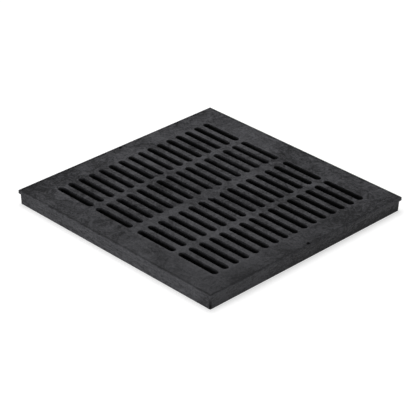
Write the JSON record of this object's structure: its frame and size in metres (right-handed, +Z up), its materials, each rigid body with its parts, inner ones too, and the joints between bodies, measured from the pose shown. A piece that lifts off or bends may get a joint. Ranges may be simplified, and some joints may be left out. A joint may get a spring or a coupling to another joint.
{
  "type": "gully grate",
  "caption": "Square moulded plastic gully grate with round-ended drainage slots, an overhanging flange, a drafted skirt and a ribbed underside.",
  "frame": {"origin": "centre of the foot of the skirt, at the bottom of the grate", "axes": "+Z up through the walking face, +X along the slots, +Y across the slots"},
  "size_m": [0.305, 0.305, 0.0175],
  "materials": {
    "grate_plastic": "matt charcoal black moulded polyolefin with a faint marbled flow pattern"
  },
  "bodies": {
    "root": {"grate": "grate_plastic"}
  },
  "joints": []
}
